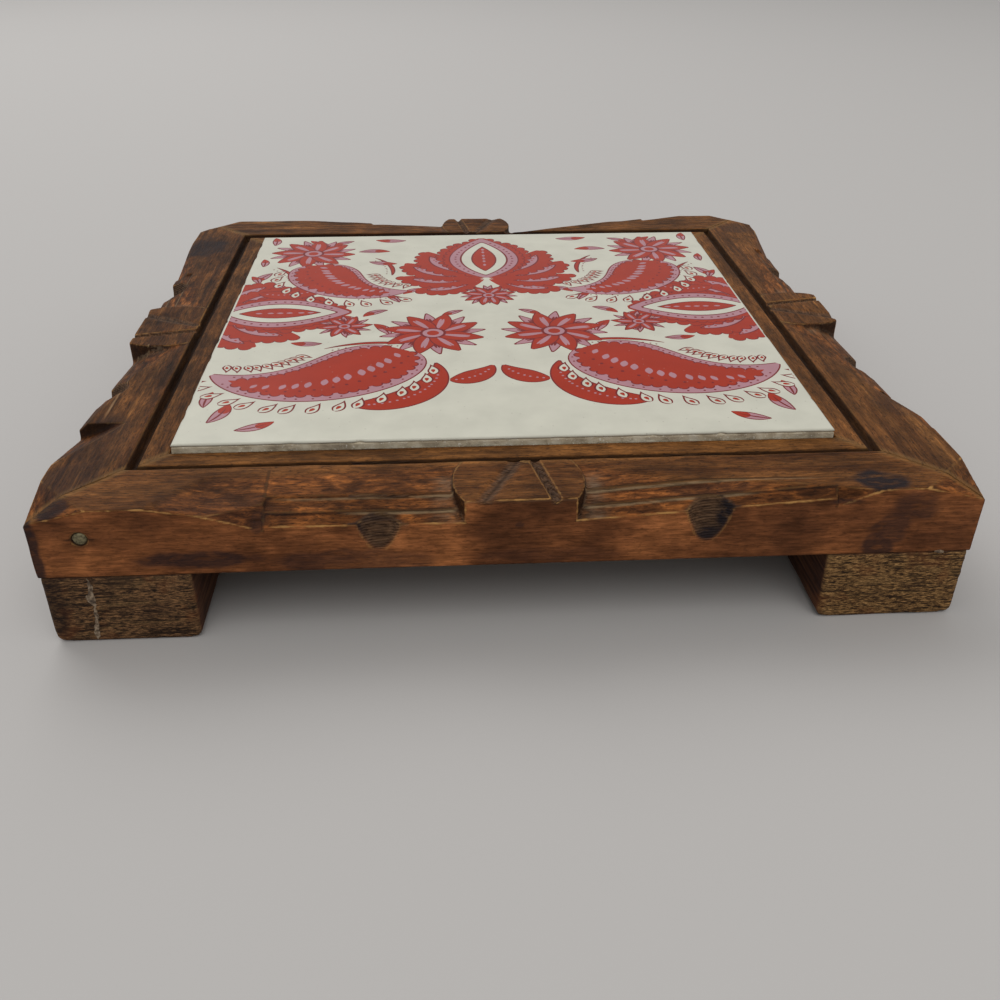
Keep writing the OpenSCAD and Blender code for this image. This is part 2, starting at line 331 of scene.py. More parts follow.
# Spacing of the rails' fine mesh, small enough to hold a worn arris and a tool mark
RAIL_MESH = 0.44
# How far the rails' ends are lengthened before they are cut to their mitres, so that the joints stay crisp
END_SPARE = 3.0
MITRE_GAP = 0.03
# A point counts as on a mitre when it lies this close to it
MITRE_NEAR = 0.02


def rail_place(points, turn):
    """Turns places in the room into places along a rail, out from the middle and up, and those back again"""
    cos, sin = math.cos(turn * math.pi / 2), math.sin(turn * math.pi / 2)
    x, y, z = points.T
    return np.stack((x * cos + y * sin, x * sin - y * cos, z), 1)


def lengthen_ends(piece, turn):
    """Draws both mitred faces out along the rail"""
    for side in (-1, 1):
        places = rail_place(read_points(piece), turn)
        on_mitre = np.abs(places[:, 0] * side - places[:, 1]) < MITRE_NEAR
        only_select(piece)
        for face in piece.data.polygons:
            face.select = all(on_mitre[v] for v in face.vertices)
        chosen = {v for face in piece.data.polygons if face.select for v in face.vertices}
        for edge in piece.data.edges:
            edge.select = edge.vertices[0] in chosen and edge.vertices[1] in chosen
        for vertex in piece.data.vertices:
            vertex.select = vertex.index in chosen
        shift = rail_place(np.array([[side * END_SPARE * MM, 0.0, 0.0]]), turn)[0]
        bpy.ops.object.mode_set(mode="EDIT")
        bpy.ops.mesh.select_mode(type="FACE")
        bpy.ops.mesh.extrude_region_move(TRANSFORM_OT_translate={"value": tuple(shift)})
        bpy.ops.object.mode_set(mode="OBJECT")


def cut_mitres(piece, turn):
    for side in (-1, 1):
        normal = rail_place(np.array([[side, -1.0, 0.0]]), turn)[0] / math.sqrt(2)
        edit_all(piece, bpy.ops.mesh.bisect, plane_co=tuple(-normal * MITRE_GAP * MM), plane_no=tuple(normal),
                 use_fill=True, clear_outer=True)


# A stain's edge fades over this share of its radius, and noise with bumps this wide makes it wander this much
STAIN_EDGE = 0.22
STAIN_BUMP = 3.0
STAIN_WARP = 0.3


def spot(first, second, radii, warp_at, seed):
    """A stain: 1 inside an ellipse with a wandering edge, 0 outside, from the distances to its middle"""
    reach = np.sqrt((first / radii[0]) ** 2 + (second / radii[1]) ** 2)
    reach += STAIN_WARP * noise_field(warp_at, STAIN_BUMP, seed)
    return 1 - rise(reach, 1 - STAIN_EDGE, 1 + STAIN_EDGE)


# Blue-black and purple stains: rail, where they lie, their place along and across, their radii along and
# across, and their strength. Across is up on the face and in the scoops, and outwards on the top
STAINS = (
    (0, "face", -67, 21.2, 12, 2.0, 0.75), (0, "face", -34, 19.8, 17, 3.0, 0.55),
    (0, "face", 8, 20, 16, 1.6, 0.25), (0, "face", -100.8, 25, 1.7, 11, 0.85),
    (0, "face", 80, 19.5, 3.8, 3.6, 0.75), (0, "face", 82, 24.5, 4.2, 4.2, 0.65),
    (0, "face", 86.5, 29.8, 5, 3.6, 0.6), (0, "face", 0.9, 27.7, 0.9, 0.7, 0.8),
    (0, "face", 70.5, 31.2, 4, 0.6, 0.6), (0, "face", -54.0, 29.6, 1.5, 2.0, 0.6),
    (0, "scoop", -34.6, 27, 2.6, 5.5, 0.9), (0, "scoop", -29.5, 29.6, 5, 0.9, 0.6),
    (0, "scoop", 46.4, 28, 2.8, 5, 0.95), (0, "scoop", 42.4, 23.4, 4.4, 2.2, 0.9),
    (0, "top", 79, 97, 5.5, 4.2, 0.95), (0, "top", -96, 98, 3.5, 3, 0.8),
    (0, "top", 42, 97, 9, 1.6, 0.3), (0, "top", -62, 98, 12, 4, 0.35),
    (3, "top", 72, 92, 14, 6, 0.3), (3, "top", -70, 95, 9, 7, 0.8),
    (3, "top", 88, 95, 7, 6, 0.45), (1, "top", -60, 96, 7, 5, 0.35),
    (1, "top", 84, 94, 6, 5, 0.5), (2, "face", 30, 24, 12, 4, 0.6),
    (2, "face", -64, 28, 6, 7, 0.5), (1, "face", 20, 22, 14, 4, 0.6),
    (3, "face", -34, 25, 10, 5, 0.6),
)


# Edges turned by more than this count as sharp, and the points along them lie this far apart
SHARP_TURN = math.radians(16)
LINE_STEP = 0.15
# Distance over which a sharp edge is felt by the material
LINE_REACH = 3.0


def sharp_lines(piece, turn):
    """Trees of points along the carving's ridges and along its creases, but not along the mitres"""
    bm = bmesh.new()
    bm.from_mesh(piece.data)
    lines = {"ridge": [], "crease": []}
    for edge in bm.edges:
        ends = np.array([v.co for v in edge.verts]) / MM
        places = rail_place(ends, turn)
        at_mitre = np.all(np.abs(np.abs(places[:, 0]) - places[:, 1]) < MITRE_NEAR)
        if len(edge.link_faces) == 2 and edge.calc_face_angle(0) > SHARP_TURN and not at_mitre:
            shares = np.linspace(0, 1, max(2, int(math.dist(*ends) / LINE_STEP)))[:, None]
            lines["ridge" if edge.is_convex else "crease"].append(ends[0] + (ends[1] - ends[0]) * shares)
    bm.free()
    trees = {}
    for name, parts in lines.items():
        points = np.concatenate(parts)
        trees[name] = KDTree(len(points))
        for k, point in enumerate(points):
            trees[name].insert(point, k)
        trees[name].balance()
    return trees


def rail_fields(piece, turn, lines):
    """Works out where the wood is rubbed, hollow, carved, lined by the gouge and stained, and where painted
    shade and painted highlight go
    """
    points, normals, edges = read_points(piece), read_normals(piece), read_edges(piece)
    places = rail_place(points, turn)
    along, out, up = places.T
    sideways, outward, upward = rail_place(normals, turn).T
    patchy = noise_field(places, (14.0, 6.0, 6.0), 40 + turn)
    fine = noise_field(places, (3.0, 1.2, 1.2), 50 + turn)
    # bend and sunk say how far a point lies in a concave bend or a hollow; the material paints shade there
    fields = {"bend": 0.5 + standing_out(points, normals, edges, 5) + 0.03 * patchy + 0.02 * fine,
              "sunk": rise(-standing_out(points, normals, edges, 50), 0.12, 0.7)}
    # Distances to the carving's sharp ridges and creases, for the light arris lines and the painted shade
    # lines
    for name, tree in lines.items():
        fields[name + "_away"] = np.array([tree.find(point)[2] for point in points]) / LINE_REACH

    block_at = BLOCK_SHARES[turn] * OUTER_HALF
    from_block = np.abs(along - block_at) - BLOCK_L / 2
    from_scoops = [np.abs(along - share * OUTER_HALF) for share in SCOOP_SHARES[turn]]
    low, high = (share * OUTER_HALF for share in STEP_SHARES[turn])
    from_step = np.minimum(np.abs(along - low), np.abs(along - high))

    in_cut = (from_block < -1.5) * rise(RAIL_TOP - up, 0.12, 0.4) * (upward > 0.2) * (out > GROOVE_OUT + 0.2)
    by_cut = rise(evened(in_cut * (up < RAIL_TOP - 0.6), edges, 5), 0.01, 0.08)
    block_rim = (up > RAIL_TOP - 0.8) * (from_block < 1) * (1 - by_cut)
    # The outer arris and the block's rim get a light line, partly wear, partly painted highlight
    outermost = rise(out, OUTER_HALF - 1.4, OUTER_HALF - 0.6)
    outermost *= 1 - 0.7 * sum(1 - rise(away, 6, 8) for away in from_scoops)
    outermost *= 1 - 0.7 * (1 - rise(from_step, 0.5, 1.5))
    fields["exposed"] = np.maximum(np.maximum(outermost, 0.4 * block_rim), 0.12)
    fields["strip"] = out < GROOVE_IN + 0.3
    # The groove's walls and floor, which the material paints darker as painted shade
    groove_wall = (out > GROOVE_IN - 0.1) * (out < GROOVE_OUT + 0.1) * rise(-upward, -0.9, -0.5)
    fields["groove"] = groove_wall + (out > GROOVE_IN + 0.3) * (out < GROOVE_OUT - 0.3)
    carved = rise(RAIL_TOP - up, 0.1, 0.5) * (out > GROOVE_OUT + 0.2) * (upward > 0.3)
    fields["carved"] = evened(carved, edges, 3)

    scooped = rise(OUTER_HALF - out, 0.05, 0.2) * (upward < 0.75) * (outward > 0.1) * (up < RAIL_TOP - 1)
    tooled = np.maximum(0.9 * in_cut, scooped * (np.minimum(*from_scoops) < SCOOP_HALF))
    tooled = fields["tooled"] = evened(tooled, edges, 1)
    ends = rise(np.abs(sideways), 0.5, 0.85) * (out > GROOVE_OUT) * (up > RAIL_FOOT + 4)
    fields["end_grain"] = evened(ends * 1.2, edges, 2)
    to_step = np.where(along < block_at, along - low, high - along)
    # Lines for each terrace: painted shade at its step, and a light line below, partly dust, partly painted
    # highlight
    for name, share, stop in zip(("first", "second"), TERRACE_SHARES, LINE_STOPS):
        fields[name + "_terrace"] = 0.5 + (out - GROOVE_OUT - CARVE_W * share + 0.2 * patchy) / TERRACE_SPAN
        line = rise(from_block, -1, 0.5) * rise(to_step, stop, stop + 9) * (upward > 0.2)
        fields[name + "_line"] = line * (1 - tooled) * (0.75 + 0.25 * patchy)
    beside = np.exp(-((from_block - 1.5) / 2.4) ** 2) * rise(out - GROOVE_OUT, 4, 8)
    fields["dusty"] = beside * carved * (0.7 + 0.5 * fine) * (1 - tooled)

    # A painted shadow ring round the nail head, and the dark split along the nail
    from_nail = np.hypot(along - NAIL_ALONG, up - NAIL_UP)
    slit = rise(-np.abs(up - NAIL_UP) + 0.1 * fine, -0.45, -0.15)
    slit *= 1 - rise(np.abs(along - NAIL_ALONG), 2.3, 4)
    fields["nail_shade_and_split"] = np.maximum(1 - rise(from_nail, 1.6, 2.1), slit) * (outward > 0.3)
    from_mitre = np.abs(np.abs(along) - out) + 0.5 * patchy
    fields["mitre"] = (1 - rise(from_mitre, 0.8, 2.6)) * (upward > 0.3)
    fields["outside"] = rise(outward, 0.6, 0.9) * (OUTER_HALF - out < 0.4)
    lies = {"face": (up, outward > 0.2), "top": (out, upward > 0.4), "scoop": (up, tooled)}
    fields["inked"] = np.zeros(len(points))
    for k, (rail, where, at, across_at, *radii, strength) in enumerate(STAINS):
        if rail == turn:
            across, taken = lies[where]
            stain = strength * spot(along - at, across - across_at, radii, places, 60 + k) * taken
            fields["inked"] = np.maximum(fields["inked"], stain)
    for name, values in fields.items():
        keep_field(piece, name, values)


def weather(piece, turn):
    """Softens the remeshed arrises and gives the faces the slight waves of hand work"""
    edges = read_edges(piece)
    points = evened(read_points(piece), edges, 1)
    write_points(piece, points)
    normals = read_normals(piece)
    places = rail_place(points, turn)
    smooth = evened(points, edges, 6)
    crease = rise(-((points - smooth) * normals).sum(1), 0.02, 0.12)
    points += (smooth - points) * evened(crease, edges, 2)[:, None]
    near = standing_out(points, normals, edges, 5)
    waves = 0.1 * noise_field(places, (11.0, 7.0, 7.0), 10 + turn)
    waves += 0.05 * noise_field(places, (5.0, 2.6, 2.6), 20 + turn)
    chips = rise(noise_field(places, (2.2, 1.6, 1.6), 30 + turn), 0.35, 0.8) * rise(near, 0.1, 0.25)
    free = rise(places[:, 1] - OPEN_HALF, 0.2, 1.5) * rise(places[:, 2] - RAIL_FOOT, 0.2, 1.5)
    points += normals * ((waves - 0.3 * chips) * free)[:, None]
    write_points(piece, points)


def carved_rail(turn):
    node = RAILS[turn]
    piece = solid_copy(node, "carved_" + node)
    lines = sharp_lines(piece, turn)
    lengthen_ends(piece, turn)
    apply_modifier(piece, "REMESH", mode="VOXEL", voxel_size=RAIL_MESH * MM, use_smooth_shade=True)
    weather(piece, turn)
    rail_fields(piece, turn, lines)
    cut_mitres(piece, turn)
    return piece


# The wood of the rails

# A wave texture of scale 1 has bands this wide
WAVE_TURN = math.pi / 10
# A tint over each rail: the colour it leans to, and by how much
RAIL_LEANS = (("#8a5228", 0.06), ("#9a6a42", 0.1), ("#8a5228", 0.0), ("#20130b", 0.16))


def stained_pine(turn):
    """Pine, carved by hand, stained dark brown and waxed: a half-dull brown with darker grain along the rail,
    orange where the carving is rubbed, tan arrises that are partly worn and partly a painted highlight, dusty
    hollows, painted shade in hollows, creases, the groove and round the nails, painted shade and highlight
    lines along the terraces, and blue-black spots where the stain ran"""
    paint = Paint("stained_pine_" + RAILS[turn][5:], 0.6, 0.07)
    between, times = paint.between, paint.times
    grain = paint.moved(paint.place, Location=(turn * 0.31, turn * 0.17, 0.0),
                        Rotation=(0, 0, -turn * math.pi / 2))

    def stretched(length, size, detail=3.0, rough=0.5, distortion=0.0):
        """Noise drawn out along the rail, with spots this long and this wide"""
        at = paint.moved(grain, Scale=(size / length, 1, 1))
        return paint.noise(at, size, Detail=detail, Roughness=rough, Distortion=distortion)

    fibres = stretched(5.0, 0.45, 4.0, 0.65)
    rings = stretched(90.0, 3.2, 3.0, 0.5, 0.8)
    patches = stretched(16.0, 12.0)
    mottles = stretched(4.5, 1.6, 4.0, 0.6, 0.4)
    pores = stretched(1.2, 0.36, 2.0)
    streaks = between(fibres, 0.34, 0.66)
    field = paint.fields("bend", "sunk", "exposed", "carved", "tooled", "end_grain", "ridge_away",
                         "crease_away", "first_terrace", "second_terrace", "first_line", "second_line",
                         "dusty", "mitre", "outside", "strip", "groove", "inked", "nail_shade_and_split")

    top = paint.ramp(rings, (0.3, "#37200f"), (0.42, "#502f15"), (0.52, "#623d1d"), (0.6, "#5a381b"),
                     (0.7, "#794f28"))
    top = paint.covered(top, ("#704a22", field["strip"], 0.1 if turn else 0.4))
    face = paint.ramp(patches, (0.32, "#613a24"), (0.5, "#744629"), (0.68, "#85522f"))
    orange = paint.ramp(mottles, (0.34, "#391e10"), (0.5, "#5b3318"), (0.66, "#804b22"))
    colour = paint.covered(top, (face, field["outside"]), (orange, field["carved"], 0.72))
    rough_parts = paint.math("SUBTRACT", 1.0, times(field["outside"], 0.25))
    for marks in (streaks, between(mottles, 0.3, 0.7), between(patches, 0.3, 0.7)):
        shades = paint.blended(marks, linear("#727272"), linear("#ececec"))
        colour = paint.blended(times(rough_parts, 0.7), colour, shades, "OVERLAY")

    pore_share = paint.math("SUBTRACT", 0.6, times(field["outside"], 0.28))
    scraped = paint.blended(streaks, linear("#2a1e17"), linear("#68503c"))
    # A painted shade line along the carving's creases, weaker where the wood is tooled
    crease = between(paint.math("ADD", field["crease_away"], times(mottles, 0.12)), 0.24, 0.1)
    crease_share = paint.math("SUBTRACT", 0.85, times(field["tooled"], 0.45))
    colour = paint.covered(
        colour, RAIL_LEANS[turn],
        ("#86653c", field["mitre"], 0.4),
        ("#22140b", between(pores, 0.42, 0.34), pore_share),
        ("#22150f", field["end_grain"], 0.8),
        (scraped, field["tooled"], 0.85),
        # Painted shade in hollows and in concave bends
        ("#20130b", field["sunk"], 0.6),
        ("#1c110b", between(field["bend"], 0.45, 0.33), 0.6),
        ("#190f0a", crease, crease_share),
        # Painted shade in the groove
        ("#1e130c", field["groove"], 0.75),
        ("#85705a", field["dusty"], between(fibres, 0.35, 0.6), 0.6))
    # Painted shade where a terrace steps down, and a light line below, partly dust, partly painted highlight
    broken = between(fibres, 0.3, 0.55)
    for name in ("first", "second"):
        ledge, line = field[name + "_terrace"], field[name + "_line"]
        colour = paint.covered(
            colour,
            ("#1c110b", between(ledge, 0.43, 0.47), between(ledge, 0.53, 0.5), line, 0.8),
            ("#957c5c", between(ledge, 0.51, 0.54), between(ledge, 0.6, 0.56), broken, line, 0.8))
    # A light line along the arrises, partly wear and partly painted highlight
    worn_and_lit = paint.math("ADD", field["ridge_away"], times(mottles, 0.3))
    colour = paint.covered(
        colour,
        ("#b98a50", between(worn_and_lit, 0.26, 0.18), field["exposed"], 0.85),
        ("#1d191d", field["inked"], between(mottles, 0.25, 0.5)),
        # Painted shadow round the nail heads, and the dark split along them
        ("#1c120d", field["nail_shade_and_split"], 0.85))

    marks_at = paint.moved(grain, Rotation=(0.2, 0.1, 0))
    marks = paint.add("TexWave", {"Vector": marks_at, "Scale": WAVE_TURN / (0.6 * MM), "Distortion": 2.0},
                      out="Fac", bands_direction="Z")
    relief = paint.math("ADD", fibres, times(marks, field["tooled"]), use_clamp=False)
    relief = paint.math("ADD", relief, mottles, use_clamp=False)
    return paint.finished(colour, relief, 0.7, 0.35)


for turn, node in enumerate(RAILS):
    rail = carved_rail(turn)
    coat(rail, stained_pine(turn))
    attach(rail, "root")
    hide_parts(node)


# The runners

RUNNER_MESH = 0.62


def sawn_runner(side):
    """A runner with ends left rough by the saw, worn arrises and small dents"""
    node = "foot_left" if side < 0 else "foot_right"
    piece = solid_copy(node, "sawn_" + node)
    apply_modifier(piece, "REMESH", mode="VOXEL", voxel_size=RUNNER_MESH * MM, use_smooth_shade=True)
    edges = read_edges(piece)
    points = evened(read_points(piece), edges, 2)
    write_points(piece, points)
    normals = read_normals(piece)
    near = standing_out(points, normals, edges, 6)
    at_end = rise(np.abs(normals[:, 1]), 0.5, 0.8)
    sag = points + np.stack([0 * near, 0 * near, 0.004 * (points[:, 0] - side * 70) ** 2], 1)
    ridges = noise_field(sag, (14.0, 40.0, 0.75), 71 + side)
    ridges += 0.5 * noise_field(sag, (5.0, 40.0, 0.45), 75 + side)
    strokes = noise_field(points, (6.0, 3.0, 6.0), 81 + side)
    chips = rise(noise_field(points, (2.0, 2.6, 1.6), 85 + side), 0.3, 0.8) * rise(near, 0.12, 0.35)
    shift = at_end * 0.16 * ridges + (1 - at_end) * 0.1 * strokes - 0.55 * chips - 0.1
    free = 1 - rise(points[:, 2], FOOT_HIGH.z - 0.5, FOOT_HIGH.z - 0.1)
    points += normals * (shift * free)[:, None]
    write_points(piece, points)
    keep_field(piece, "sawn_end", at_end)
    keep_field(piece, "ridge", 0.5 + 0.4 * ridges)
    keep_field(piece, "rubbed", rise(near + 0.05 * strokes, 0.16, 0.42))
    # Painted shade on the inner side, away from the sawn ends, and a darker patch near the left runner's
    # outer end
    inner = rise(-points[:, 0] * side, -OUTER_HALF + FOOT_HIGH.x - FOOT_LOW.x - 1, 0)
    dark_patch = spot(points[:, 0] - side * 99, points[:, 2] - 12, (2.5, 9), points, 90) * (side < 0)
    keep_field(piece, "shaded", np.maximum(inner * (1 - at_end), dark_patch))
    return piece


def sawn_pine(side):
    """A pine offcut under thin dark stain: olive brown, with near level grain ridges at the rough ends whose
    yellow-brown light is a painted highlight, browner planed sides, painted shade on the inner side and a
    painted shadow line at the top of the ends, under the rail"""
    paint = Paint("sawn_pine_" + ("left" if side < 0 else "right"), 0.75, 0.12)
    place, between = paint.place, paint.between
    field = paint.fields("sawn_end", "ridge", "rubbed", "shaded")
    level_at = paint.moved(place, Scale=(0.2, 0.2, 1), Location=(side, 0, 0), Rotation=(0, 0.05, 0))
    level = paint.noise(level_at, 0.27, Detail=4.0, Roughness=0.8, Distortion=0.3)
    crack_at = paint.moved(place, Scale=(0.09, 0.09, 1), Rotation=(0, -0.03, 0))
    cracks = paint.noise(crack_at, 0.55, Detail=2.0, Distortion=0.5)
    along = paint.noise(paint.moved(place, Scale=(1, 0.05, 1)), 0.9, Detail=4.0)
    patches = paint.noise(place, 7.0, Detail=3.0)

    low, high = ("#4f3927", "#8d6744") if side < 0 else ("#5f4429", "#a98151")
    # A painted shadow line at the top of the sawn ends, where the runner meets the rail
    height = paint.add("SeparateXYZ", {"Vector": place}, out="Z")
    gap_shade = between(paint.math("ADD", height, paint.times(cracks, 0.5 * MM)),
                  FOOT_HIGH.z * MM - 0.15 * MM, FOOT_HIGH.z * MM + 0.15 * MM)
    end = paint.covered(
        paint.ramp(level, (0.39, "#19110c"), (0.49, low), (0.61, high)),
        # Painted highlight on the tops of the grain ridges
        ("#8d7048", between(field["ridge"], 0.55, 0.95), 0.35),
        ("#1d130d", between(cracks, 0.46, 0.38), 0.8),
        ("#150d09", gap_shade, 0.85))
    colour = paint.covered(
        paint.ramp(along, (0.35, "#33201a"), (0.5, "#4a2f22"), (0.68, "#5f402c")),
        (end, field["sawn_end"]),
        ("#6b3c20", between(patches, 0.42, 0.3), 0.35),
        ("#2b1d16", between(patches, 0.55, 0.7), 0.5),
        ("#93754b", field["rubbed"], 0.45),
        # Painted shade on the inner side, and the darker patch on the left runner
        ("#1d1210", field["shaded"], 0.6))
    return paint.finished(colour, paint.blended(field["sawn_end"], along, level), 0.6, 0.35)


for side, node in ((-1, "foot_left"), (1, "foot_right")):
    runner = sawn_runner(side)
    coat(runner, sawn_pine(side))
    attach(runner, "root")
    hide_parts(node)


# The tile's printed ornament, drawn for its left half and mirrored

WHITE, RED, MAUVE, CRIMSON = range(4)
GLAZES = (("white", "#c5c3b4"), ("red", "#9c2708"), ("mauve", "#a97c84"), ("crimson", "#701514"))
# Points along a drop's middle line
SPINE_COUNT = 60
# The shapes of the left half, each an outline and its glaze, with later ones over earlier ones
MOTIFS = []


def spine(at, length, turn, bend, curl=1.0):
    """Points along a curve that bends evenly, or with a curl more at its end, and its sideways directions"""
    share = np.linspace(0, 1, SPINE_COUNT)
    angle = np.radians(turn + bend * share ** curl)
    ahead = np.stack((np.cos(angle), np.sin(angle)), 1)
    steps = np.cumsum((ahead[1:] + ahead[:-1]) / 2 * length / (SPINE_COUNT - 1), axis=0)
    points = np.array(at) + np.concatenate((np.zeros((1, 2)), steps))
    return points, np.stack((-ahead[:, 1], ahead[:, 0]), 1)


def half_widths(width, peak):
    """Half the width of a drop along its spine, widest at the peak share"""
    share = np.linspace(0, 1, SPINE_COUNT)
    return width / 2 * np.sin(np.pi * share ** (math.log(0.5) / math.log(peak))).clip(0) ** 0.8


def stations(length, first, last, spacing):
    """Places along a spine, given as its point numbers, evenly spaced between two shares of its length"""
    return np.arange(first * (SPINE_COUNT - 1), last * (SPINE_COUNT - 1),
                     spacing / length * (SPINE_COUNT - 1)).astype(int)


def draw_drop(coats, at, length, width, turn, bend=0, peak=0.3, curl=1.0):
    """Coats of colour in a drop, each narrower than the last by its rim"""
    points, across = spine(at, length, turn, bend, curl)
    for rim, colour in coats:
        half = half_widths(width, peak) - rim
        kept = np.flatnonzero(half > 0.02)[::1 + (length < 30) + (length < 12)]
        left = points[kept] + across[kept] * half[kept, None]
        right = points[kept] - across[kept] * half[kept, None]
        if len(kept) > 2:
            MOTIFS.append((np.concatenate((right, left[::-1])), colour))


def draw_disc(at, *coats):
    for radius, colour in coats:
        ring = circle(8 + 4 * (radius > 0.5) + 6 * (radius > 1.2))
        MOTIFS.append((np.array(at) + radius * ring, colour))


LEAF = ((0, CRIMSON), (0.4, MAUVE))
LOOP = ((0, CRIMSON), (0.5, WHITE))
PETAL = ((0, CRIMSON), (0.4, RED))


def draw_leaf(at, length, turn, bend):
    """A mauve leaf with a red tip and a dark midrib"""
    width = length * 0.36
    draw_drop(LEAF, at, length, width, turn, bend, peak=0.5)
    points, across = spine(at, length, turn, bend)
    heading = np.degrees(np.arctan2(-across[:, 0], across[:, 1]))
    middle = SPINE_COUNT // 2
    draw_drop(((0, RED),), points[middle], length * 0.48, width * 0.72, heading[middle], bend / 2)
    draw_drop(((0, CRIMSON),), points[3], length * 0.75, 0.55, heading[3], bend * 0.75, peak=0.4)


def draw_scallops(spots, radius):
    """A row of round lobes, the dark rims of all of them under the filling of all of them"""
    for rim, colour in (0, CRIMSON), (0.35, RED):
        for middle in spots:
            draw_disc(middle, (radius - rim, colour))


def draw_paisley(at, length, width, turn, bend, fringe_side):
    """A curled drop with a scalloped red core, a mauve border with dark dots, and a fringe of loops"""
    shape = {"peak": 0.27, "curl": 1.5}
    points, across = spine(at, length, turn, bend, shape["curl"])
    half = half_widths(width, shape["peak"])
    heading = np.degrees(np.arctan2(-across[:, 0], across[:, 1]))
    for side, low, loop_l, spacing in ((fringe_side, 0.1, 6.6, 3.7), (-fringe_side, 0.42, 5.2, 3.6)):
        for k in stations(length, low, 0.97, spacing):
            root = points[k] + across[k] * side * (half[k] + 0.9)
            lean = heading[k] + side * 58
            draw_drop(LOOP, root, loop_l, loop_l * 0.5, lean, -side * 30, peak=0.66)
            tilt = math.radians(lean - side * 9)
            inner = root + 0.5 * loop_l * np.array((math.cos(tilt), math.sin(tilt)))
            draw_drop(((0, RED),), inner, loop_l * 0.3, loop_l * 0.17, lean - side * 20)
    draw_drop(((0, CRIMSON), (0.45, MAUVE)), at, length, width, turn, bend, **shape)
    border = width * 0.11
    core = half - border
    lobes = [points[k] + across[k] * side * (core[k] - 0.8) for side in (-1, 1)
             for k in stations(length, 0.04, 0.86, 2.5) if core[k] > 1.4]
    draw_scallops(lobes, 1.5)
    draw_drop(((border + 0.7, RED),), at, length, width, turn, bend, **shape)
    for k in stations(length, 0.08, 0.8, width * 0.12):
        size = 0.08 * half[k]
        draw_drop(((0, MAUVE),), points[k], 2.6 * size + 1.0, 1.4 * size + 0.5, heading[k] + 60, peak=0.5)
        draw_disc(points[k] + across[k] * fringe_side * half[k] * 0.42, (0.12 + 0.35 * size, CRIMSON))
    for side in (-1, 1):
        for k in stations(length, 0.03, 0.93, 2.6):
            draw_disc(points[k] + across[k] * side * (half[k] - border * 0.52), (0.34, CRIMSON))


def draw_flower(at, radius, petals, turn):
    """A star flower with mauve sepals behind pointed red petals"""
    layers = (LEAF, 1.0, 0.28, CRIMSON), (PETAL, 0.97, 0.42, MAUVE)
    for layer, (coats, reach, wide, rib) in enumerate(layers):
        for k in range(petals):
            angle = turn + (k + 0.5 * layer) * 360 / petals
            draw_drop(coats, at, radius * reach, radius * wide, angle, 16, peak=0.42)
            for side in (-1, 1):
                draw_drop(((0, rib),), at, radius * 0.72, radius * 0.06, angle + side * 5, 16 - side * 6,
                          peak=0.7)
    draw_disc(at, (radius * 0.24, CRIMSON), (radius * 0.19, MAUVE), (radius * 0.11, RED))


def draw_palmette(at, size, turn):
    """A pointed medallion among curled side leaves with scalloped edges"""
    for k, lean in enumerate((140, 112, 86, 62, 38)):
        for side in (-1, 1):
            long = size * (0.62 + 0.07 * k)
            shape = (at, long, long * 0.36, turn + side * lean, -side * 56)
            points, across = spine(at, long, *shape[3:])
            half = half_widths(shape[2], 0.6)
            lobes = [points[j] + across[j] * side * (half[j] - 0.6) for j in stations(long, 0.35, 0.97, 2.9)]
            draw_scallops(lobes, 1.9)
            draw_drop(((0.3, RED), (long * 0.11, CRIMSON), (long * 0.125, MAUVE)), *shape, peak=0.6)
            for j in stations(long, 0.3, 0.85, 2.2):
                draw_disc(points[j], (0.4, RED))
    width = size * 0.6
    points, across = spine(at, size, turn, 0)
    half = half_widths(width, 0.45)
    rim = [points[j] + across[j] * side * (half[j] - 0.4)
           for side in (-1, 1) for j in stations(size, 0.1, 0.95, 2.7)]
    draw_scallops(rim, 1.7)
    coats = ((0, RED), (1.0, CRIMSON), (1.4, MAUVE), (size * 0.11, CRIMSON), (size * 0.125, WHITE),
             (size * 0.2, CRIMSON), (size * 0.212, RED))
    draw_drop(coats, at, size, width, turn, peak=0.45)
    for j in stations(size, 0.3, 0.72, size * 0.075):
        draw_drop(((0, MAUVE),), points[j], 2.0, 1.0, turn, peak=0.5)
    for side in (-1, 1):
        for j in stations(size, 0.12, 0.9, 2.4):
            draw_disc(points[j] + across[j] * side * (half[j] - size * 0.075), (0.42, CRIMSON))


def draw_stem(at, length, turn, bend):
    """A curved stem with a row of dots along it"""
    draw_drop(PETAL, at, length, 1.7, turn, bend, peak=0.4)
    points, across = spine(at, length, turn, bend)
    for k in stations(length, 0.1, 0.95, 1.9):
        draw_disc(points[k] + across[k] * math.copysign(1.9, bend), (0.3, CRIMSON))


def draw_comma(*shape):
    """A broad red hook with a light line of beads down its middle"""
    draw_drop(PETAL, *shape, peak=0.42)
    points, _ = spine(shape[0], shape[1], *shape[3:])
    for k in stations(shape[1], 0.12, 0.85, 1.8):
        draw_disc(points[k], (0.36, MAUVE))


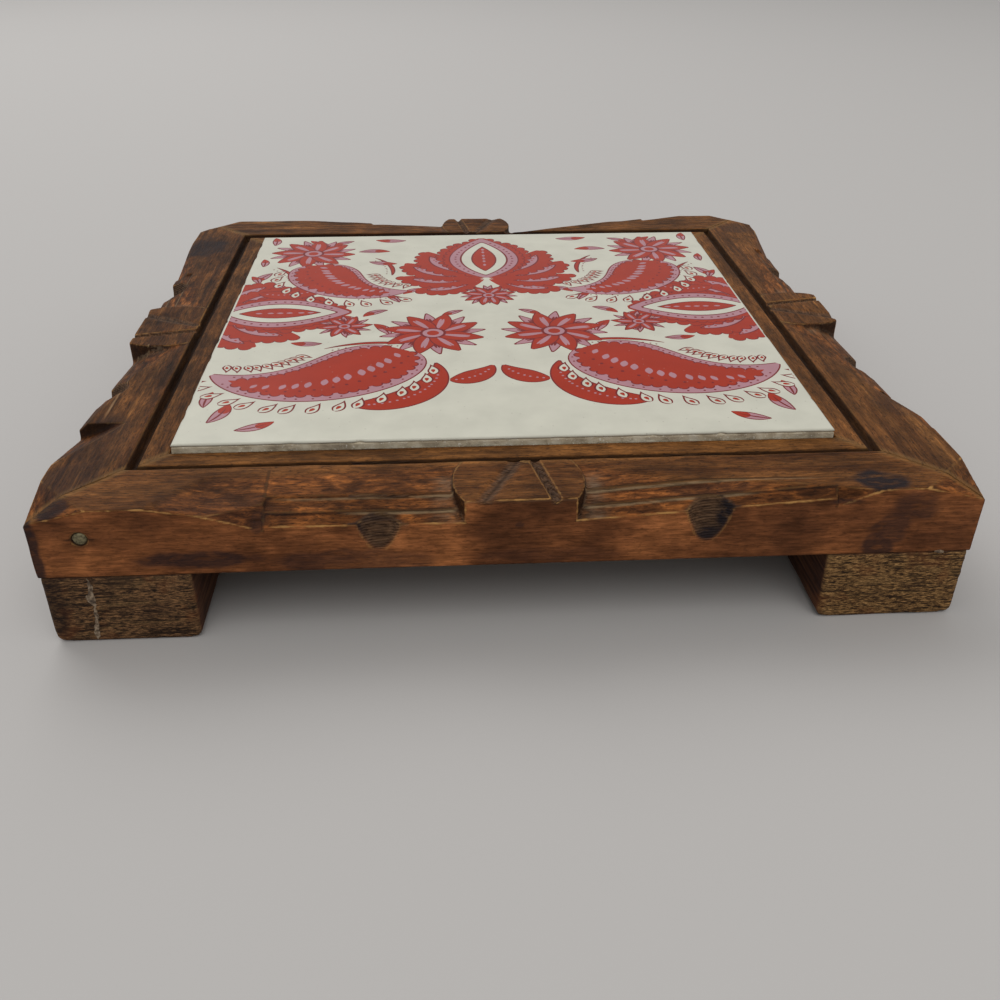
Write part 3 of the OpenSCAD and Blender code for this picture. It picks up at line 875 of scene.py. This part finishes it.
# Stems and leaves: place, length, direction and bend
STEMS = (((-22, -22), 26, 160, 50), ((-44, -8), 20, 185, -60), ((-48, 40), 24, -95, 50),
         ((-30, 34), 20, 80, 60), ((-60, 30), 16, 100, 40), ((-66, 60), 14, 40, -60),
         ((-26, 14), 16, 150, 60))
LEAVES = (((-29, -15), 10, 100, 40), ((-36, -24), 9, 215, -40), ((-41, -15), 11, 60, 40),
          ((-38, -6), 9, 120, 30), ((-47, -20), 9, 190, -30), ((-49, 30), 10, 10, 40),
          ((-68, 38), 10, 230, 30), ((-42, 58), 11, 20, -40), ((-38, 48), 10, -30, 30),
          ((-71, 66), 9, 80, 30), ((-70, -66), 11, 50, 40), ((-72, -58), 9, 100, -30),
          ((-63, -70), 10, 10, 30), ((-8, 3), 8, 200, 30), ((-9, -3), 8, 240, 30), ((-62, 24), 9, 140, 30),
          ((-71, 28), 8, 100, 30), ((-26, 70), 11, 190, -30), ((-30, 4), 9, 190, 50),
          ((-27, 10), 8, 100, 50), ((-52, 66), 9, 160, -30), ((-20, 22), 8, 200, 40),
          ((-44, 70), 9, 200, 30), ((-72, 44), 8, 80, 30))


def draw_half():
    """Draws all shapes of the left half"""
    for stem in STEMS:
        draw_stem(*stem)
    for leaf in LEAVES:
        draw_leaf(*leaf)
    draw_palmette((-80, 3), 40, 0)
    draw_palmette((0, 30), 42, 90)
    draw_flower((-57, 57), 15, 8, 10)
    draw_flower((-17, -14), 15.5, 8, 0)
    draw_flower((0, 15), 9, 8, 0)
    draw_flower((-42, -8), 8.5, 6, 30)
    draw_comma((-13, -45), 16, 7.5, 0, 76)
    draw_comma((-37, -58), 38, 9.5, -8, 116)
    draw_comma((-70, 20), 26, 8, -30, 100)
    draw_paisley((-25, -24), 60, 28, 238, -106, 1)
    draw_paisley((-54, 46), 46, 23, -82, 104, -1)


def edge_points(low, high, spacing):
    """Points round a rectangle, evenly spaced along each side"""
    corners = [(low[0], low[1]), (high[0], low[1]), (high[0], high[1]), (low[0], high[1])]
    points = []
    for first, last in zip(corners, corners[1:] + corners[:1]):
        count = round(math.dist(first, last) / spacing)
        for k in range(count):
            points.append([first[axis] + (last[axis] - first[axis]) * k / count for axis in (0, 1)])
    return points


# How far the flat of the glaze stops short of the tile's edge, and the rows that round its arris: how far
# each lies in from the tile's edge and below the flat
GLAZE_IN = 0.8
GLAZE_ROWS = ((0.45, 0.04), (0.18, 0.16), (0.04, 0.4), (0.06, 0.62), (0.5, 0.66))


def printed_glaze():
    """The glaze as a thin closed coat, its flat split along the ornament's outlines"""
    flat_half = TILE_HALF - GLAZE_IN
    draw_half()
    outlines = [(np.array(edge_points((-flat_half, -flat_half), (0, flat_half), 1.2)), WHITE)] + MOTIFS
    points, faces = [], []
    for outline, colour in outlines:
        faces.append(list(range(len(points), len(points) + len(outline))))
        points.extend(Vector(p) for p in outline.tolist())
    points, _, faces, _, _, sources = delaunay_2d_cdt(points, [], faces, 1, 0.004, True)
    bm = bmesh.new()
    verts = [bm.verts.new((p.x * MM, p.y * MM, TILE_TOP * MM)) for p in points]
    for face, source in zip(faces, sources):
        if 0 in source:
            made = bm.faces.new([verts[v] for v in face])
            made.material_index = outlines[max(source)][1]
    bmesh.ops.delete(bm, geom=[v for v in bm.verts if not v.link_faces], context="VERTS")
    twin = bmesh.ops.duplicate(bm, geom=bm.verts[:] + bm.edges[:] + bm.faces[:])["geom"]
    bmesh.ops.scale(bm, vec=(-1, 1, 1), verts=[g for g in twin if isinstance(g, BMVert)])
    bmesh.ops.reverse_faces(bm, faces=[g for g in twin if isinstance(g, BMFace)])
    bmesh.ops.remove_doubles(bm, verts=bm.verts[:], dist=0.002 * MM)
    rim = [e for e in bm.edges if e.is_boundary]
    for inset, depth in GLAZE_ROWS:
        made = bmesh.ops.extrude_edge_only(bm, edges=rim)["geom"]
        ring = [g for g in made if isinstance(g, BMVert)]
        rim = [g for g in made if isinstance(g, BMEdge) and g.is_boundary]
        for face in (g for g in made if isinstance(g, BMFace)):
            face.material_index = WHITE
            face.smooth = True
        reach = max(abs(v.co.x) for v in ring)
        spots = np.array([v.co for v in ring]) / MM
        chipped = rise(noise_field(spots, (2.6, 2.6, 50.0), 95), 0.35, 0.75) * (inset < 0.4)
        wander = 0.1 * noise_field(spots, (1.6, 1.6, 50.0), 96) * (0.3 < depth < 0.65)
        for v, chip, wave in zip(ring, chipped, wander):
            v.co *= (TILE_HALF - inset - 0.3 * chip) * MM / reach
            v.co.z = (TILE_TOP - depth - 0.12 * chip + wave) * MM
    bmesh.ops.contextual_create(bm, geom=rim)
    bmesh.ops.recalc_face_normals(bm, faces=bm.faces[:])
    mesh = bpy.data.meshes.new("printed_glaze")
    bm.to_mesh(mesh)
    bm.free()
    return new_object("printed_glaze", mesh)


# The tile's body lies this far in under the glaze, and its two ends this much farther
BODY_IN = 0.12
BODY_BEVEL = 0.3
BODY_ROWS = 14


def tile_body():
    """The biscuit under the glaze, with rough edges"""
    ring = edge_points((-TILE_HALF, -TILE_HALF), (TILE_HALF, TILE_HALF), 0.8)
    points = []
    for k, z in enumerate(np.linspace(TILE_LOW.z, TILE_TOP - GLAZE_ROWS[-1][1], BODY_ROWS)):
        scale = 1 - BODY_IN / TILE_HALF - BODY_BEVEL / TILE_HALF * (k in (0, BODY_ROWS - 1))
        points += [(x * scale, y * scale, z) for x, y in ring]
    piece = mesh_piece("tile_body", points, tube_faces(BODY_ROWS, len(ring)))
    points = read_points(piece)
    rough = 0.1 * noise_field(points, (1.1, 1.1, 0.8), 97)
    rough -= 0.25 * rise(noise_field(points, 3.0, 98), 0.4, 0.8)
    points[:, :2] *= (1 + rough / TILE_HALF)[:, None]
    write_points(piece, points)
    return piece


def glaze_material(name, hex_colour):
    """Tin-white glaze and its printed colours: glossy, faintly uneven, with small specks and a thinner print
    here and there"""
    paint = Paint("glaze_" + name, 0.25, 0.1)
    cloud = paint.noise(paint.place, 9.0, Detail=6.0)
    waves = paint.noise(paint.place, 3.0, Detail=2.0)
    specks = paint.add("TexVoronoi", {"Vector": paint.place, "Scale": 1 / (2.6 * MM)}, out="Distance")
    deep, pale = ([c * share for c in linear(hex_colour)[:3]] + [1.0] for share in (0.95, 1.04))
    colour = paint.blended(paint.between(cloud, 0.35, 0.65), deep, pale)
    colour = paint.covered(colour, ("#8d857a", paint.between(specks, 0.09, 0.05), 0.4))
    return paint.finished(colour, waves, 0.25, 0.06)


def biscuit():
    """Fired clay at the tile's edge: dull grey beige, stained by years of use, with pale crumbs"""
    paint = Paint("biscuit", 0.9, 0.2)
    stains = paint.noise(paint.place, 4.0, Detail=6.0)
    crumbs = paint.noise(paint.place, 0.5, Detail=2.0)
    colour = paint.ramp(stains, (0.34, "#9a8d78"), (0.5, "#bbae95"), (0.64, "#cdc3ad"))
    colour = paint.covered(colour, ("#d8d2c4", paint.between(crumbs, 0.64, 0.7)))
    return paint.finished(colour, crumbs, 0.7, 0.2)


body = tile_body()
coat(body, biscuit())
glaze = printed_glaze()
for row in GLAZES:
    glaze.data.materials.append(glaze_material(*row))
for piece in (body, glaze):
    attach(piece, "root")
    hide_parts("tile")


# Nails, glue and the parts inside

# A corner nail turned on its axis: radius, and depth from the face of its head
NAIL_PROFILE = ((0.05, 0.0), (0.55, 0.03), (1.0, 0.12), (1.35, 0.28), (1.55, 0.52), (1.55, 0.88), (0.9, 0.9),
                (0.9, 25.3), (0.25, 28.0))
NAIL_SIDES = 36
SMOOTH_TURN = math.radians(40)


def domed_nail(name, turn):
    """A nail with a low domed head, a little dented by the hammer"""
    points = np.array([(NAIL_ALONG + radius * cos, depth - OUTER_HALF, NAIL_UP + radius * sin)
                       for radius, depth in NAIL_PROFILE for cos, sin in circle(NAIL_SIDES)])
    points[:, 1] += 0.08 * noise_field(points, 1.1, 101 + turn) * (points[:, 1] < 0.6 - OUTER_HALF)
    cos, sin = math.cos(turn * math.pi / 2), math.sin(turn * math.pi / 2)
    turned = [(x * cos - y * sin, x * sin + y * cos, z) for x, y, z in points]
    piece = mesh_piece(name, turned, tube_faces(len(NAIL_PROFILE), NAIL_SIDES))
    only_select(piece)
    bpy.ops.object.shade_smooth_by_angle(angle=SMOOTH_TURN)
    return piece


def nail_metal():
    """Old steel nail heads: greenish grey-brass, dull, darker in pits and with a rusty film"""
    paint = Paint("dull_nail_steel", metallic=0.7)
    film = paint.noise(paint.place, 0.7, Detail=5.0)
    rough = paint.add("MapRange", {"Value": film, "To Min": 0.7, "To Max": 0.4})
    paint.tree.links.new(rough, paint.sockets["Roughness"])
    colour = paint.ramp(film, (0.33, "#453c2c"), (0.5, "#726a50"), (0.7, "#8a8062"))
    return paint.finished(colour, film, 0.2, 0.05)


def dried_glue():
    """Wood glue or tile cement that ran and dried: dull, brown with off-white crumbs, crusty"""
    paint = Paint("dried_glue", 0.8)
    crust = paint.noise(paint.place, 0.8, Detail=5.0)
    colour = paint.ramp(crust, (0.35, "#3a2c20"), (0.5, "#6b5844"), (0.65, "#94816a"))
    return paint.finished(colour, crust, 0.6, 0.2)


def plywood():
    """The panel under the tile: bare plywood, tan with long brown grain on its face and a few dark pores"""
    paint = Paint("plywood", 0.75, 0.25)
    grain = paint.moved(paint.place, Scale=(0.06, 1, 1))
    figure = paint.noise(grain, 5.0, Detail=3.0, Distortion=1.2)
    pores = paint.noise(grain, 0.5, Detail=1.0)
    colour = paint.ramp(figure, (0.3, "#8a6743"), (0.46, "#a8825a"), (0.54, "#94704b"), (0.7, "#b7926a"))
    colour = paint.covered(colour, ("#5b4028", paint.between(pores, 0.36, 0.3), 0.5))
    return paint.finished(colour, pores, 0.3, 0.15)


# The glue run's way down the runner, as shares of its height: its place and half its width there
GLUE_RUN = ((0, -91.0, 0.4), (0.15, -90.7, 0.9), (0.3, -91.3, 1.3), (0.45, -90.8, 0.8), (0.6, -90.9, 0.6),
            (0.8, -91.5, 1.4), (1, -91.9, 1.0))
GLUE_ROWS, GLUE_SIDES = 44, 8
GLUE_SEED = 7
# Where the bead sits along the front, and its half sizes
BEAD_AT = 94.1
BEAD_HALVES = (1.1, 0.35, 0.4)


def glue_run():
    """A crust of glue down the left runner's front end"""
    rng = np.random.default_rng(GLUE_SEED)
    swell = np.convolve(rng.random(GLUE_ROWS + 4), np.ones(5) / 5, "valid") * 1.3
    shares, places, halves = zip(*GLUE_RUN)
    points = []
    for r in range(GLUE_ROWS):
        share = r / (GLUE_ROWS - 1)
        middle = np.interp(share, shares, places) + rng.normal(0, 0.12)
        half = np.interp(share, shares, halves) * swell[r] * (1 - abs(2 * share - 1) ** 8) + 0.02
        up = FOOT_HIGH.z - 0.2 - (FOOT_HIGH.z - 1) * share
        for cos, sin in circle(GLUE_SIDES):
            points.append((middle + half * cos, -OUTER_HALF + 0.12 - 0.25 * max(0, sin), up))
    piece = mesh_piece("glue_run", points, tube_faces(GLUE_ROWS, GLUE_SIDES))
    edit_all(piece, bpy.ops.mesh.normals_make_consistent, inside=False)
    apply_modifier(piece, "SUBSURF", levels=2)
    return piece


def glue_bead():
    """A bead of glue squeezed out between the right runner and the rail"""
    deselect()
    bpy.ops.mesh.primitive_ico_sphere_add(subdivisions=3, radius=1.0 * MM, location=(0, 0, 0))
    piece = bpy.context.object
    piece.name = "glue_bead"
    points = read_points(piece)
    points *= (1 + 0.25 * noise_field(points, 0.7, 110))[:, None]
    write_points(piece, points * BEAD_HALVES + (BEAD_AT, -OUTER_HALF + 0.05, RAIL_FOOT + 0.1))
    only_select(piece)
    bpy.ops.object.shade_smooth()
    return piece


nail_surface, glue_surface = nail_metal(), dried_glue()
for turn, corner in enumerate(("front_left", "front_right", "back_right", "back_left")):
    nail = domed_nail("nail_" + corner, turn)
    coat(nail, nail_surface)
    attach(nail, "root")
    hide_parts("corner_nail_" + corner)

for drip in (glue_run(), glue_bead()):
    coat(drip, glue_surface)
    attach(drip, "root")

for node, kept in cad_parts.items():
    if node.startswith(("foot_nail", "panel_brad")):
        kept.material_slots[0].material = nail_surface
    elif node == "tile_adhesive":
        kept.material_slots[0].material = glue_surface
    elif node == "backing_panel":
        kept.material_slots[0].material = plywood()


# The camera, the floor and the light

# These lengths are in metres
FLOOR_W = 12.0
ROOM_STRENGTH = 0.55
# The lamps, all aimed at the trivet: name, place, width and power
LAMPS = (("window", (-0.6, 0.9, 1.3), 1.2, 11.0), ("room_light", (0.2, -1.0, 1.5), 1.2, 8.0))


def stand_camera():
    data = bpy.data.cameras.new("camera")
    data.sensor_width = SENSOR_W
    data.lens = LENS_L
    data.clip_start = CLIP_NEAR
    data.clip_end = CLIP_FAR
    camera = new_object("camera", data)
    camera.location = Vector(CAMERA_AT) * MM
    camera.rotation_euler = Euler([math.radians(a) for a in CAMERA_TURN])
    bpy.context.scene.camera = camera


def lay_floor():
    deselect()
    bpy.ops.mesh.primitive_plane_add(size=FLOOR_W, location=(0, 0, 0))
    floor = bpy.context.object
    floor.name = "floor"
    paint = Paint("plain_floor", 0.9)
    paint.sockets["Base Color"].default_value = linear("#b7b4b1")
    coat(floor, paint.material)


def light_room():
    world = bpy.data.worlds.new("room")
    world.use_nodes = True
    background = world.node_tree.nodes["Background"]
    background.inputs["Color"].default_value = linear("#ffffff")
    background.inputs["Strength"].default_value = ROOM_STRENGTH
    bpy.context.scene.world = world
    for name, at, width, power in LAMPS:
        data = bpy.data.lights.new(name, "AREA")
        data.shape = "SQUARE"
        data.size = width
        data.energy = power
        lamp = new_object(name, data)
        lamp.location = Vector(at)
        lamp.rotation_euler = (-Vector(at)).to_track_quat("-Z", "Y").to_euler()
    bpy.context.scene.view_settings.view_transform = "Standard"


stand_camera()
lay_floor()
light_room()
